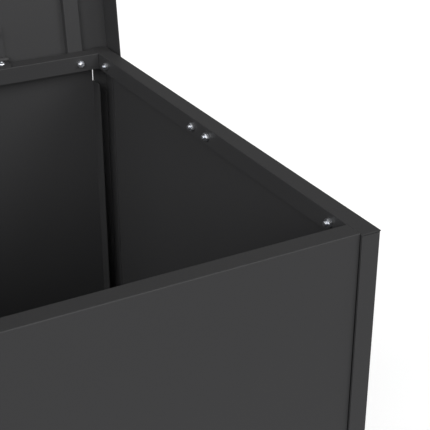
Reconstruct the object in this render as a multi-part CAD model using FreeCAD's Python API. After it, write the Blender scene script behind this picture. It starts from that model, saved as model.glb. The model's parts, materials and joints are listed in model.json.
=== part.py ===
import FreeCAD, Part
import math
import os

# Parcel drop box: a floor-standing chest of folded sheet steel with a hinged telescoping lid.
# Millimetres, +Z up, front towards -Y. The origin is on the ground, midway between the four anchor holes.
# The lid is built shut and then swung open about its hinge pins, because the box is drawn open.

# Overall sizes
WIDTH = 900.0          # over the side panels
DEPTH = 590.0          # over the corner posts
RIM_TOP = 600.0        # from the ground to the top of the rim
LID_OPEN = 96.0        # degrees from shut to the rear stops

# Sheet and plate
SHEET = 1.2            # panels, floor, lid
PLATE = 2.0            # posts, brackets, braces
BEND = 1.0             # outside radius of a fold, less than the sheet
SEAM = 0.5             # open joint between a panel and its neighbour
RIM_JOINT = 0.6        # open joint between a post's top and the rim

# Rim and panel folds
RIM = 20.0             # width of the folded rim
LIP = 20.0             # drop of the inner lip
POST_PROUD = 3.0       # posts stand this far in front of the front and rear panels
NOTCH = 42.0           # side flanges stop this far from the top and the bottom
RELIEF = 2.4           # slot beside the rear posts, from the lip down to the flange
SILL = 25.0            # width of the bottom flanges
GROUND_GAP = 15.0      # from the ground to the underside of the panels

# Floor
PAN_CLEARANCE = 0.5
PAN_EDGE = 12.0
RIB_WIDTH = 40.0
RIB_DEPTH = 10.0
RIB_PITCH = 220.0
RIB_END_GAP = 30.0     # ribs stop this far from the front and rear faces
FOOT_RADIUS = 20.0
ANCHOR_RADIUS = 4.5
ANCHOR_INSET_X = 55.0  # from the side face
ANCHOR_INSET_Y = 55.0  # from the post face
FOOT_PLATE = 85.0      # reach of the corner plate from the outer faces
FOOT_TAB = 40.0
FOOT_CHAMFER = 2.0
FOOT_CHAMFER_HEIGHT = 3.0
FRONT_BOLT_EDGE = 10.0  # from the foot plate's end to its bolt
SIDE_BOLT_EDGE = 15.0

# M5 fasteners
THREAD_R = 2.5
THREAD_CLEARANCE = 0.25
NUT_FLATS = 8.0
NUT_CROWN = 0.9          # share of the corner's overhang that the chamfer drops
NUT_HEIGHT = 4.0
STUD_END = 2.5         # thread standing out of a nut
HEAD_R = 4.4
HEAD_BULGE = 1.4         # radius of the domed face over the head's radius
HEAD_HEIGHT = 2.6
WELD_HEAD_R = 4.0
WELD_HEAD = 1.6

# Rim brackets and braces
BRACKET_HEIGHT = 17.0
BRACKET_ARM = 45.0     # along each lip
STUD_DROP = 9.6        # below the top of the rim
CORNER_STUD = 25.4     # from the inner corner of the rim
STUD_PAIR = 32.6       # between the two studs of a brace
BRACE_LENGTH = 64.0
BRACE_OFFSET = 150.0   # from the middle of the front and rear rims

# Lid
SKIRT_GAP = 4.0        # between the skirts and the box
SKIRT = 41.0           # depth of the skirts below the skin
LID_TAIL = 20.0        # skin behind the hinge axis
HEM = 8.0
STIFFENER_WIDTH = 20.0
STIFFENER_DEPTH = 8.5
STIFFENER_INSET = 43.0  # from the side face to the middle of the outer stiffeners
STIFFENER_COUNT = 4
STIFFENER_TAIL = 5.0   # behind the hinge axis
STIFFENER_FRONT_GAP = 9.0

# Hinges
HINGE_X = 284.0
HINGE_LENGTH = 66.0
LEAF_CORNER = 3.0        # rounding of the leaves' free corners
LEAF = 1.5
KNUCKLE_R = 3.5
PIN_HOLE_R = 2.0
PIN_CLEARANCE = 0.05
PIN_HEAD_R = 3.0
PIN_HEAD = 1.5
KNUCKLE_GAP = 0.3
FIXED_LEAF_WIDTH = 18.0
LID_LEAF_WIDTH = 42.0
HINGE_SCREW_PITCH = 46.0
FIXED_SCREW_INSET = 6.0  # from the rear edge of the rim
LID_STUD_INSET = 32.0  # from the hinge axis
LID_RISE = 5.85        # underside of the lid skin above the hinge axis

# Buffers
BUFFER_R = 7.0
BUFFER_X = 350.0
BUFFER_STEM_R = 3.0
BUFFER_STEM = 5.0
BUFFER_BARB_R = 4.5
BUFFER_EDGE = 1.0
BUFFER_CROWN = 1.5       # rounding of the buffer's free end
CONTACT_GAP = 0.3

# Lock
LOCK_BODY_R = 9.0
LOCK_PLUG_R = 6.0
LOCK_RUNNING = 0.05
LOCK_HEAD_R = 12.0
LOCK_HEAD = 4.0
LOCK_HEAD_EDGE = 1.5     # rounding of the barrel's front edge
LOCK_NUT_FLATS = 24.0
LOCK_NUT = 4.0
LOCK_LIP_GAP = 2.8     # between the cam and the hidden side of the lip
CAM = 3.0
CAM_WIDTH = 13.0
CAM_REACH = 32.0
CAM_CORNER = 2.0         # rounding of the cam's tip
CAM_BOSS = 1.5           # the cam's hub is this much wider than its arm, each side
CAM_SCREW_EDGE = 0.8     # rounding of the cam screw's head
KEY_SLOT = 1.8
KEY_SLOT_LENGTH = 7.0
HOOK_SHANK = 8.0
HOOK_CLEARANCE = 2.0   # between the turned cam and the hook
HOOK_PAD = 36.0
HOOK_SLOT_MARGIN = 3.0
HOOK_SWING = 5.5       # forward sweep of the hook's tip as the lid shuts
GUARD_DEPTH = 26.0
GUARD_LEFT = 45.0
GUARD_RIGHT = 60.0
GUARD_TOP = 24.0       # below the rim
GUARD_BOTTOM = 84.0
GUARD_EAR = 15.0

# Derived planes
HALF_X = WIDTH / 2
HALF_Y = DEPTH / 2
FACE_Y = HALF_Y - POST_PROUD       # outside of the front and rear panels
LIP_X = HALF_X - RIM               # inside faces of the lips
LIP_Y = FACE_Y - RIM
END_X = LIP_X - SEAM / 2           # ends of the front and rear panels
END_Y = LIP_Y - SEAM / 2           # ends of the side panels
POST_X = LIP_X + SEAM / 2
POST_Y = LIP_Y + SEAM / 2
UNDER_RIM = RIM_TOP - SHEET
STUD_Z = RIM_TOP - STUD_DROP
PAN_TOP = GROUND_GAP + 2 * SHEET
AXIS_Y = FACE_Y + KNUCKLE_R
AXIS_Z = RIM_TOP + KNUCKLE_R
LID_Z = AXIS_Z + LID_RISE          # underside of the lid skin, shut
ANCHOR_X = HALF_X - ANCHOR_INSET_X
ANCHOR_Y = HALF_Y - ANCHOR_INSET_Y
LOCK_Z = RIM_TOP - LIP - HOOK_CLEARANCE - CAM_REACH  # the raised cam stays below the lip
LOCK_DEPTH = RIM - SHEET - LOCK_LIP_GAP - CAM  # from the panel's face to the cam
CAM_Y = -FACE_Y + LOCK_DEPTH
BASE_BOLT_X = HALF_X - FOOT_PLATE + FRONT_BOLT_EDGE
BASE_BOLT_Y = HALF_Y - FOOT_PLATE + SIDE_BOLT_EDGE

X_AXIS = FreeCAD.Vector(1, 0, 0)
Y_AXIS = FreeCAD.Vector(0, 1, 0)
Z_AXIS = FreeCAD.Vector(0, 0, 1)
ORIGIN = FreeCAD.Vector(0, 0, 0)


def block(x, y, z):
    """A block over three spans, each a pair of limits in either order."""
    low = FreeCAD.Vector(min(x), min(y), min(z))
    return Part.makeBox(abs(x[1] - x[0]), abs(y[1] - y[0]), abs(z[1] - z[0]), low)


def rod(radius, start, axis, length):
    """A cylinder from a point along an axis."""
    return Part.makeCylinder(radius, length, start, axis)


def join(shapes):
    """One solid from touching or overlapping shapes."""
    return shapes[0].multiFuse(shapes[1:]).removeSplitter()


def cut(shape, tools):
    """The shape with every tool taken out of it."""
    return shape.cut(Part.makeCompound(tools)) if tools else shape


def line_edges(shape, **place):
    """Edges whose points all lie at the given coordinates, such as y=0, z=10."""
    found = []
    for edge in shape.Edges:
        ends = [vertex.Point for vertex in edge.Vertexes]
        if all(abs(getattr(point, axis) - value) < 1e-4 for point in ends for axis, value in place.items()):
            found.append(edge)
    return found


def rounded(shape, radius, places):
    """The shape with the edges at each place rounded."""
    edges = []
    for place in places:
        edges += line_edges(shape, **place)
    return shape.makeFillet(radius, edges)


def mirrored(shapes, axis):
    """Copies of shapes on the other side of the plane through the origin."""
    return [shape.mirror(ORIGIN, axis) for shape in shapes]


def all_corners(shapes):
    """Shapes made for the front right corner, repeated at all four corners."""
    right = shapes + mirrored(shapes, Y_AXIS)
    return right + mirrored(right, X_AXIS)


def save(name, shape):
    """Writes one sub-part, or a group of separate solids, to its own file."""
    group = shape if isinstance(shape, list) else [shape]
    members = [solid for item in group for solid in item.Solids]
    whole = members[0] if len(members) == 1 else Part.makeCompound(members)
    whole.exportStep("parts/" + name + ".step")


def save_pair(name, shape):
    """A right-hand piece and its mirror image as two sub-parts."""
    save(name + "_right", shape)
    save(name + "_left", mirrored([shape], X_AXIS)[0])


# Fasteners

def hex_prism(flats, height, base, axis):
    """A hexagonal prism that stands on a point along an axis, with its corners turned down."""
    radius = flats / math.sqrt(3)
    turn = FreeCAD.Rotation(Z_AXIS, axis)
    corners = []
    for index in range(7):
        angle = math.radians(60 * index)
        flat = FreeCAD.Vector(radius * math.cos(angle), radius * math.sin(angle), 0)
        corners.append(base + turn.multVec(flat))
    prism = Part.Face(Part.makePolygon(corners)).extrude(axis * height)
    drop = (radius - flats / 2) * NUT_CROWN
    cone = Part.makeCone(radius, radius - drop, drop, base + axis * (height - drop), axis)
    return prism.common(join([rod(radius, base, axis, height - drop), cone]))


def nut(base, axis):
    """An M5 nut that sits on a point and faces along an axis."""
    whole = hex_prism(NUT_FLATS, NUT_HEIGHT, base, axis)
    return whole.cut(rod(THREAD_R, base, axis, NUT_HEIGHT))


def thread(base, axis, length):
    """An M5 thread with a bevelled end."""
    bevel = THREAD_R / 4
    tip = Part.makeCone(THREAD_R, THREAD_R - bevel, bevel, base + axis * (length - bevel), axis)
    return join([rod(THREAD_R, base, axis, length - bevel), tip])


def weld_stud(seat, axis, grip):
    """A stud whose flat head is behind the plate, and whose thread passes the grip and a nut."""
    head = rod(WELD_HEAD_R, seat - axis * WELD_HEAD, axis, WELD_HEAD)
    return join([head, thread(seat, axis, grip + NUT_HEIGHT + STUD_END)])


def pan_bolt(seat, axis, grip):
    """A domed bolt with its head on a seat, and its thread along the axis through grip and nut."""
    bulge = HEAD_R * HEAD_BULGE
    sphere = Part.makeSphere(bulge, seat - axis * (HEAD_HEIGHT - bulge))
    head = rod(HEAD_R, seat - axis * HEAD_HEIGHT, axis, HEAD_HEIGHT).common(sphere)
    return join([head, thread(seat, axis, grip + NUT_HEIGHT + STUD_END)])


def clearance_hole(start, axis, depth):
    """A tool for an M5 clearance hole that overshoots both faces."""
    return rod(THREAD_R + THREAD_CLEARANCE, start - axis, axis, depth + 2)


# Where the rim studs stand: points on a lip's inner face, with the way the nut faces.

def side_studs():
    """Studs of the right side lip."""
    ends = LIP_Y - CORNER_STUD
    places = [-ends, -STUD_PAIR / 2, STUD_PAIR / 2, ends]
    return [(FreeCAD.Vector(LIP_X, y, STUD_Z), FreeCAD.Vector(-1, 0, 0)) for y in places]


def front_studs():
    """Studs of the front lip."""
    ends = LIP_X - CORNER_STUD
    pair = [BRACE_OFFSET - STUD_PAIR / 2, BRACE_OFFSET + STUD_PAIR / 2]
    places = [-ends, -pair[1], -pair[0], pair[0], pair[1], ends]
    return [(FreeCAD.Vector(x, -LIP_Y, STUD_Z), FreeCAD.Vector(0, 1, 0)) for x in places]


def stud_holes(studs):
    """Clearance holes through a lip."""
    return [clearance_hole(point, axis * -1, SHEET) for point, axis in studs]


# Panels

def side_panel():
    """Right side: skin, full-depth rim, lip and sill."""
    skin = block((HALF_X - SHEET, HALF_X), (-END_Y, END_Y), (GROUND_GAP, RIM_TOP))
    rim = block((LIP_X, HALF_X), (-HALF_Y, HALF_Y), (UNDER_RIM, RIM_TOP))
    lip = block((LIP_X, LIP_X + SHEET), (-END_Y, END_Y), (RIM_TOP - LIP, RIM_TOP))
    sill = block((HALF_X - SILL, HALF_X), (-END_Y, END_Y), (GROUND_GAP, GROUND_GAP + SHEET))
    panel = join([skin, rim, lip, sill])
    panel = rounded(panel, BEND, [
        {"x": HALF_X, "z": RIM_TOP},
        {"x": LIP_X, "z": RIM_TOP},
        {"x": HALF_X, "z": GROUND_GAP},
    ])
    bolt = FreeCAD.Vector(HALF_X - SILL / 2, 0, GROUND_GAP)
    bolts = [clearance_hole(bolt + Y_AXIS * (s * BASE_BOLT_Y), Z_AXIS, SHEET) for s in (-1, 1)]
    return cut(panel, stud_holes(side_studs()) + bolts)


def end_panel():
    """Front: skin, rim between the side rims, lip, sill and two side flanges."""
    skin = block((-END_X, END_X), (-FACE_Y, -FACE_Y + SHEET), (GROUND_GAP, RIM_TOP))
    rim = block((-END_X, END_X), (-FACE_Y, -LIP_Y), (UNDER_RIM, RIM_TOP))
    lip = block((-END_X, END_X), (-LIP_Y - SHEET, -LIP_Y), (RIM_TOP - LIP, RIM_TOP))
    sill_end = HALF_X - SILL - SEAM
    sill = block((-sill_end, sill_end), (-FACE_Y, -FACE_Y + SILL), (GROUND_GAP, GROUND_GAP + SHEET))
    tall = (GROUND_GAP + NOTCH, RIM_TOP - NOTCH)
    sides = [block((s * END_X, s * (END_X - SHEET)), (-FACE_Y, -LIP_Y), tall) for s in (-1, 1)]
    panel = join([skin, rim, lip, sill] + sides)
    panel = rounded(panel, BEND, [
        {"y": -FACE_Y, "z": RIM_TOP},
        {"y": -LIP_Y, "z": RIM_TOP},
        {"y": -FACE_Y, "z": GROUND_GAP},
    ])
    bolt = FreeCAD.Vector(0, -FACE_Y + SILL / 2, GROUND_GAP)
    bolts = [clearance_hole(bolt + X_AXIS * (s * BASE_BOLT_X), Z_AXIS, SHEET) for s in (-1, 1)]
    return cut(panel, stud_holes(front_studs()) + bolts)


def front_panel():
    """The front, with the lock's hole and the slot that the lid's hook drops through."""
    lock = rod(LOCK_BODY_R, FreeCAD.Vector(0, -FACE_Y - 1, LOCK_Z), Y_AXIS, SHEET + 2)
    margin = HOOK_SLOT_MARGIN
    slot = block(
        (HOOK_LEFT - margin, HOOK_RIGHT + margin),
        (CAM_Y - HOOK_SWING, CAM_Y + CAM + SHEET),
        (UNDER_RIM - 1, RIM_TOP + 1),
    )
    return cut(end_panel(), [lock, slot])


def rear_panel():
    """The rear, with relief slots at its top corners and holes for the hinge screws and the stops."""
    panel = mirrored([end_panel()], Y_AXIS)[0]
    screws = [clearance_hole(point - Z_AXIS * SHEET, Z_AXIS, SHEET) for point in fixed_screw_points()]
    stems = []
    slots = []
    for side in (-1, 1):
        centre = FreeCAD.Vector(side * BUFFER_X, FACE_Y - SHEET - 1, stop_height())
        stems.append(rod(BUFFER_STEM_R, centre, Y_AXIS, SHEET + 2))
        across = (side * (POST_X - RELIEF), side * POST_X)
        slots.append(block(across, (FACE_Y - SHEET - 1, FACE_Y + 1), (RIM_TOP - NOTCH, RIM_TOP - LIP)))
    return cut(panel, screws + stems + slots)


# Frame

def corner_post():
    """Front right post: an angle whose front face stands proud of the front panel."""
    tall = (GROUND_GAP, UNDER_RIM - RIM_JOINT)
    front = block((POST_X, HALF_X), (-HALF_Y, -HALF_Y + PLATE), tall)
    side = block((HALF_X - PLATE, HALF_X), (-HALF_Y, -POST_Y), tall)
    return rounded(join([front, side]), PLATE, [{"x": HALF_X, "y": -HALF_Y}])


def head_bracket():
    """Front right bracket in the hollow of the rim: two arms along the lips, two tabs in the post."""
    z = (UNDER_RIM - BRACKET_HEIGHT, UNDER_RIM)
    arm_x = LIP_X + SHEET
    arm_y = -LIP_Y - SHEET
    inner_x = HALF_X - PLATE
    inner_y = -HALF_Y + PLATE
    side_arm = block((arm_x, arm_x + PLATE), (inner_y, -LIP_Y + BRACKET_ARM), z)
    front_arm = block((LIP_X - BRACKET_ARM, inner_x), (arm_y - PLATE, arm_y), z)
    front_tab = block((arm_x, inner_x), (inner_y, inner_y + PLATE), z)
    side_tab = block((inner_x - PLATE, inner_x), (inner_y, arm_y), z)
    bracket = join([side_arm, front_arm, front_tab, side_tab])
    side_hole = rod(THREAD_R, FreeCAD.Vector(LIP_X, -LIP_Y + CORNER_STUD, STUD_Z), X_AXIS, 2 * PLATE)
    front_hole = rod(THREAD_R, FreeCAD.Vector(LIP_X - CORNER_STUD, -LIP_Y, STUD_Z), Y_AXIS * -1, 2 * PLATE)
    return cut(bracket, [side_hole, front_hole])


def side_brace():
    """A channel that ties the middle of the right lip to its skin."""
    y = (-BRACE_LENGTH / 2, BRACE_LENGTH / 2)
    z = (UNDER_RIM - BRACKET_HEIGHT, UNDER_RIM)
    near = LIP_X + SHEET
    far = HALF_X - SHEET
    web = block((near, far), y, (UNDER_RIM - PLATE, UNDER_RIM))
    brace = join([block((near, near + PLATE), y, z), web, block((far - PLATE, far), y, z)])
    holes = [rod(THREAD_R, point, axis * -1, SHEET + PLATE) for point, axis in side_studs()[1:3]]
    return cut(brace, holes)


def front_brace():
    """A channel that ties the front lip to its skin, right of the middle."""
    x = (BRACE_OFFSET - BRACE_LENGTH / 2, BRACE_OFFSET + BRACE_LENGTH / 2)
    z = (UNDER_RIM - BRACKET_HEIGHT, UNDER_RIM)
    near = -LIP_Y - SHEET
    far = -FACE_Y + SHEET
    web = block(x, (near, far), (UNDER_RIM - PLATE, UNDER_RIM))
    brace = join([block(x, (near - PLATE, near), z), web, block(x, (far, far + PLATE), z)])
    holes = [rod(THREAD_R, point, axis * -1, SHEET + PLATE) for point, axis in front_studs()[3:5]]
    return cut(brace, holes)


def rim_fasteners():
    """Every stud and nut around the rim."""
    grip = SHEET + PLATE
    places = side_studs()
    studs = [weld_stud(point - axis * grip, axis, grip) for point, axis in places]
    nuts = [nut(point, axis) for point, axis in places]
    studs += mirrored(studs, X_AXIS)
    nuts += mirrored(nuts, X_AXIS)
    places = front_studs()
    cross = [weld_stud(point - axis * grip, axis, grip) for point, axis in places]
    cross_nuts = [nut(point, axis) for point, axis in places]
    studs += cross + mirrored(cross, Y_AXIS)
    nuts += cross_nuts + mirrored(cross_nuts, Y_AXIS)
    return studs, nuts


# Base

def floor_pan():
    """The floor: a sheet on the sills with low upturned edges and open corners."""
    x = HALF_X - SHEET - PAN_CLEARANCE
    y = FACE_Y - SHEET - PAN_CLEARANCE
    corner_x = END_X - SHEET - PAN_CLEARANCE
    corner_y = END_Y - SHEET - PAN_CLEARANCE
    z = (GROUND_GAP + SHEET, PAN_TOP)
    edge = (GROUND_GAP + SHEET, PAN_TOP + PAN_EDGE)
    sheet = join([block((-x, x), (-corner_y, corner_y), z), block((-corner_x, corner_x), (-y, y), z)])
    edges = [block((s * x, s * (x - SHEET)), (-corner_y, corner_y), edge) for s in (-1, 1)]
    edges += [block((-corner_x, corner_x), (s * y, s * (y - SHEET)), edge) for s in (-1, 1)]
    anchors = all_corners([rod(ANCHOR_RADIUS, FreeCAD.Vector(ANCHOR_X, -ANCHOR_Y, 0), Z_AXIS, RIM_TOP / 2)])
    return cut(join([sheet] + edges), anchors + base_bolt_holes())


def base_bolt_points():
    """Seats of the two bolts at the front right corner, under the sills."""
    side = FreeCAD.Vector(HALF_X - SILL / 2, -BASE_BOLT_Y, GROUND_GAP)
    front = FreeCAD.Vector(BASE_BOLT_X, -FACE_Y + SILL / 2, GROUND_GAP)
    return [side, front]


def base_bolt_holes():
    """Clearance holes for the base bolts at every corner."""
    depth = 2 * SHEET + PLATE
    return all_corners([clearance_hole(point, Z_AXIS, depth) for point in base_bolt_points()])


def floor_rib(x):
    """A channel under the floor, open upwards."""
    reach = FACE_Y - RIB_END_GAP
    low = GROUND_GAP + SHEET - RIB_DEPTH
    high = GROUND_GAP + SHEET
    outer = block((x - RIB_WIDTH / 2, x + RIB_WIDTH / 2), (-reach, reach), (low, high))
    half = RIB_WIDTH / 2 - SHEET
    inner = block((x - half, x + half), (-reach, reach), (low + SHEET, high))
    return outer.cut(inner)


def foot():
    """Front right foot: a pad with the anchor hole through it."""
    base = FreeCAD.Vector(ANCHOR_X, -ANCHOR_Y, 0)
    height = GROUND_GAP + SHEET
    taper = Part.makeCone(FOOT_RADIUS - FOOT_CHAMFER, FOOT_RADIUS, FOOT_CHAMFER_HEIGHT, base, Z_AXIS)
    shank = rod(FOOT_RADIUS, base + Z_AXIS * FOOT_CHAMFER_HEIGHT, Z_AXIS, height - FOOT_CHAMFER_HEIGHT)
    pad = join([taper, shank])
    return pad.cut(rod(ANCHOR_RADIUS, base, Z_AXIS, height))


def foot_plate():
    """Front right corner plate on the floor, with two tabs inside the post."""
    inner_x = HALF_X - PLATE
    inner_y = -HALF_Y + PLATE
    edge_x = HALF_X - 2 * SHEET - 2 * PAN_CLEARANCE
    edge_y = -FACE_Y + 2 * SHEET + 2 * PAN_CLEARANCE
    z = (PAN_TOP, PAN_TOP + PLATE)
    tab = (PAN_TOP, PAN_TOP + FOOT_TAB)
    plate = block((HALF_X - FOOT_PLATE, edge_x), (edge_y, -HALF_Y + FOOT_PLATE), z)
    corner = block((END_X, inner_x), (inner_y, -END_Y), z)
    side_tab = block((inner_x - PLATE, inner_x), (inner_y, -POST_Y), tab)
    front_tab = block((POST_X, inner_x), (inner_y, inner_y + PLATE), tab)
    anchor = rod(ANCHOR_RADIUS, FreeCAD.Vector(ANCHOR_X, -ANCHOR_Y, 0), Z_AXIS, RIM_TOP / 2)
    return cut(join([plate, corner, side_tab, front_tab]), [anchor] + base_bolt_holes())


# Hinges, right hand. The lid's pieces are drawn shut.

def fixed_screw_points():
    """Centres of all fixed-leaf screws at the top of the rim."""
    points = []
    for centre in (-HINGE_X, HINGE_X):
        for side in (-1, 1):
            x = centre + side * HINGE_SCREW_PITCH / 2
            points.append(FreeCAD.Vector(x, FACE_Y - FIXED_SCREW_INSET, RIM_TOP))
    return points


def knuckle(start, end):
    """A tube about the hinge axis between two places along X."""
    base = FreeCAD.Vector(start, AXIS_Y, AXIS_Z)
    return rod(KNUCKLE_R, base, X_AXIS, end - start)


def hinge_bore():
    """The pin hole through the right hinge."""
    base = FreeCAD.Vector(HINGE_X - HINGE_LENGTH, AXIS_Y, AXIS_Z)
    return rod(PIN_HOLE_R, base, X_AXIS, 2 * HINGE_LENGTH)


def hinge_fixed_leaf():
    """The leaf on the rear rim, with two outer knuckles."""
    left = HINGE_X - HINGE_LENGTH / 2
    right = HINGE_X + HINGE_LENGTH / 2
    third = HINGE_LENGTH / 3
    plate = block((left, right), (FACE_Y - FIXED_LEAF_WIDTH, FACE_Y), (RIM_TOP, RIM_TOP + LEAF))
    plate = rounded(plate, LEAF_CORNER, [{"x": x, "y": FACE_Y - FIXED_LEAF_WIDTH} for x in (left, right)])
    parts = [plate]
    for start, end in ((left, left + third), (right - third, right)):
        parts.append(block((start, end), (FACE_Y, AXIS_Y), (RIM_TOP, RIM_TOP + LEAF)))
        parts.append(knuckle(start, end))
    holes = [clearance_hole(point, Z_AXIS, LEAF) for point in fixed_screw_points()]
    return cut(join(parts), [hinge_bore()] + holes)


def hinge_lid_leaf():
    """The leaf under the lid skin, with the middle knuckle."""
    left = HINGE_X - HINGE_LENGTH / 2
    right = HINGE_X + HINGE_LENGTH / 2
    third = HINGE_LENGTH / 3
    front = AXIS_Y - LID_LEAF_WIDTH
    plate = block((left, right), (front, AXIS_Y), (LID_Z - LEAF, LID_Z))
    plate = rounded(plate, LEAF_CORNER, [{"x": x, "y": front} for x in (left, right)])
    start = left + third + KNUCKLE_GAP
    end = right - third - KNUCKLE_GAP
    web = block((start, end), (AXIS_Y - KNUCKLE_R + LEAF / 2, AXIS_Y), (AXIS_Z + PIN_HOLE_R, LID_Z))
    holes = [clearance_hole(point - Z_AXIS * LEAF, Z_AXIS, LEAF) for point in lid_stud_points()]
    return cut(join([plate, web, knuckle(start, end)]), [hinge_bore()] + holes)


def hinge_pin():
    """The pin, with a flat head at each end."""
    radius = PIN_HOLE_R - PIN_CLEARANCE
    base = FreeCAD.Vector(HINGE_X - HINGE_LENGTH / 2, AXIS_Y, AXIS_Z)
    shaft = rod(radius, base, X_AXIS, HINGE_LENGTH)
    near = rod(PIN_HEAD_R, base - X_AXIS * PIN_HEAD, X_AXIS, PIN_HEAD)
    far = rod(PIN_HEAD_R, base + X_AXIS * HINGE_LENGTH, X_AXIS, PIN_HEAD)
    return join([shaft, near, far])


def lid_stud_points():
    """Where the lid's hinge studs leave the underside of its skin, at both hinges."""
    points = []
    for centre in (-HINGE_X, HINGE_X):
        for side in (-1, 1):
            x = centre + side * HINGE_SCREW_PITCH / 2
            points.append(FreeCAD.Vector(x, AXIS_Y - LID_STUD_INSET, LID_Z))
    return points


# Lid, drawn shut

def lid_shell():
    """The telescoping cap: skin, three skirts and a folded rear hem."""
    inner_x = HALF_X + SKIRT_GAP
    inner_y = -HALF_Y - SKIRT_GAP
    outer_x = inner_x + SHEET
    outer_y = inner_y - SHEET
    tail = AXIS_Y + LID_TAIL
    top = LID_Z + SHEET
    low = LID_Z - SKIRT
    skin = block((-outer_x, outer_x), (outer_y, tail), (LID_Z, top))
    front = block((-outer_x, outer_x), (outer_y, inner_y), (low, top))
    sides = [block((s * inner_x, s * outer_x), (outer_y, tail), (low, top)) for s in (-1, 1)]
    hem = block((-inner_x, inner_x), (tail - HEM, tail), (LID_Z - SHEET, LID_Z))
    shell = join([skin, front, hem] + sides)
    places = [{"x": s * outer_x, "z": top} for s in (-1, 1)]
    places += [{"x": s * outer_x, "y": outer_y} for s in (-1, 1)]
    places.append({"y": outer_y, "z": top})
    return rounded(shell, BEND, places)


def lid_stiffener(x):
    """A channel along the depth of the lid, open towards the skin."""
    half = STIFFENER_WIDTH / 2
    y = (-HALF_Y - SKIRT_GAP + STIFFENER_FRONT_GAP, AXIS_Y + STIFFENER_TAIL)
    low = LID_Z - STIFFENER_DEPTH
    channel = block((x - half, x + half), y, (low, LID_Z))
    channel = rounded(channel, BEND, [{"x": x - half, "z": low}, {"x": x + half, "z": low}])
    inside = block((x - half + SHEET, x + half - SHEET), y, (low + SHEET, LID_Z))
    return channel.cut(inside)


def stiffener_places():
    """Even places across the lid for the middles of its stiffeners."""
    outer = HALF_X - STIFFENER_INSET
    step = 2 * outer / (STIFFENER_COUNT - 1)
    return [-outer + step * index for index in range(STIFFENER_COUNT)]


def lid_buffer():
    """A rubber button under the lid that lands on the front rim."""
    height = LID_Z - RIM_TOP - CONTACT_GAP
    base = FreeCAD.Vector(BUFFER_X, -FACE_Y + RIM / 2, LID_Z)
    button = rod(BUFFER_R, base, Z_AXIS * -1, height)
    return rounded(button, BUFFER_CROWN, [{"z": LID_Z - height}])


def stop_height():
    """Height of the rear stops: level with the middle of the swung hem."""
    turn = math.radians(LID_OPEN)
    along = LID_TAIL - HEM / 2
    return AXIS_Z - along * math.sin(turn) + (LID_RISE - SHEET) * math.cos(turn)


def rear_stop():
    """A rubber stop on the rear panel, with its stem and barb through the skin."""
    turn = math.radians(LID_OPEN)
    surface = AXIS_Y + LID_TAIL * math.cos(turn) + (LID_RISE - SHEET) * math.sin(turn)
    height = surface - CONTACT_GAP - FACE_Y
    base = FreeCAD.Vector(BUFFER_X, FACE_Y, stop_height())
    button = rod(BUFFER_R, base, Y_AXIS, height)
    button = rounded(button, BUFFER_EDGE, [{"y": FACE_Y + height}])
    tip = base - Y_AXIS * (SHEET + BUFFER_STEM)
    stem = rod(BUFFER_STEM_R, tip, Y_AXIS, SHEET + BUFFER_STEM)
    barb = Part.makeCone(BUFFER_STEM_R, BUFFER_BARB_R, BUFFER_STEM, tip, Y_AXIS)
    return join([button, stem, barb])


# Lock. The cam points up when it is free and to the right when it holds the lid's hook.

HOOK_LEFT = CAM_WIDTH / 2 + 2 * HOOK_CLEARANCE
HOOK_INNER = CAM_REACH + HOOK_CLEARANCE
HOOK_RIGHT = HOOK_INNER + HOOK_SHANK
HOOK_FOOT_TOP = LOCK_Z - CAM_WIDTH / 2 - HOOK_CLEARANCE


def lid_hook():
    """The hook that hangs from the lid and drops through the front rim."""
    y = (CAM_Y, CAM_Y + CAM)
    shank = block((HOOK_INNER, HOOK_RIGHT), y, (HOOK_FOOT_TOP - HOOK_SHANK, LID_Z))
    toe = block((HOOK_LEFT, HOOK_RIGHT), y, (HOOK_FOOT_TOP - HOOK_SHANK, HOOK_FOOT_TOP))
    middle = (HOOK_INNER + HOOK_RIGHT) / 2
    across = (middle - HOOK_PAD / 2, middle + HOOK_PAD / 2)
    pad = block(across, (-HALF_Y + CAM, CAM_Y + 4 * CAM), (LID_Z - PLATE, LID_Z))
    return join([shank, toe, pad])


def lock_barrel():
    """The fixed barrel, its head against the front panel."""
    face = FreeCAD.Vector(0, -FACE_Y, LOCK_Z)
    body = rod(LOCK_BODY_R, face, Y_AXIS, LOCK_DEPTH - CONTACT_GAP)
    head = rod(LOCK_HEAD_R, face - Y_AXIS * LOCK_HEAD, Y_AXIS, LOCK_HEAD)
    head = rounded(head, LOCK_HEAD_EDGE, [{"y": -FACE_Y - LOCK_HEAD}])
    bore = rod(LOCK_PLUG_R + LOCK_RUNNING, face - Y_AXIS * LOCK_HEAD, Y_AXIS, LOCK_HEAD + LOCK_DEPTH)
    return cut(join([body, head]), [bore])


def lock_nut():
    """The large nut that clamps the barrel to the panel."""
    base = FreeCAD.Vector(0, -FACE_Y + SHEET, LOCK_Z)
    ring = hex_prism(LOCK_NUT_FLATS, LOCK_NUT, base, Y_AXIS)
    return ring.cut(rod(LOCK_BODY_R, base, Y_AXIS, LOCK_NUT))


def lock_plug():
    """The turning plug with its key slot."""
    face = FreeCAD.Vector(0, -FACE_Y - LOCK_HEAD, LOCK_Z)
    plug = rod(LOCK_PLUG_R, face, Y_AXIS, LOCK_HEAD + LOCK_DEPTH)
    half = KEY_SLOT / 2
    length = KEY_SLOT_LENGTH / 2
    slot = block((-half, half), (face.y, face.y + LOCK_DEPTH / 2), (LOCK_Z - length, LOCK_Z + length))
    screw = rod(THREAD_R, face + Y_AXIS * (LOCK_HEAD + LOCK_DEPTH / 2), Y_AXIS, LOCK_DEPTH)
    return cut(plug, [slot, screw])


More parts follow.
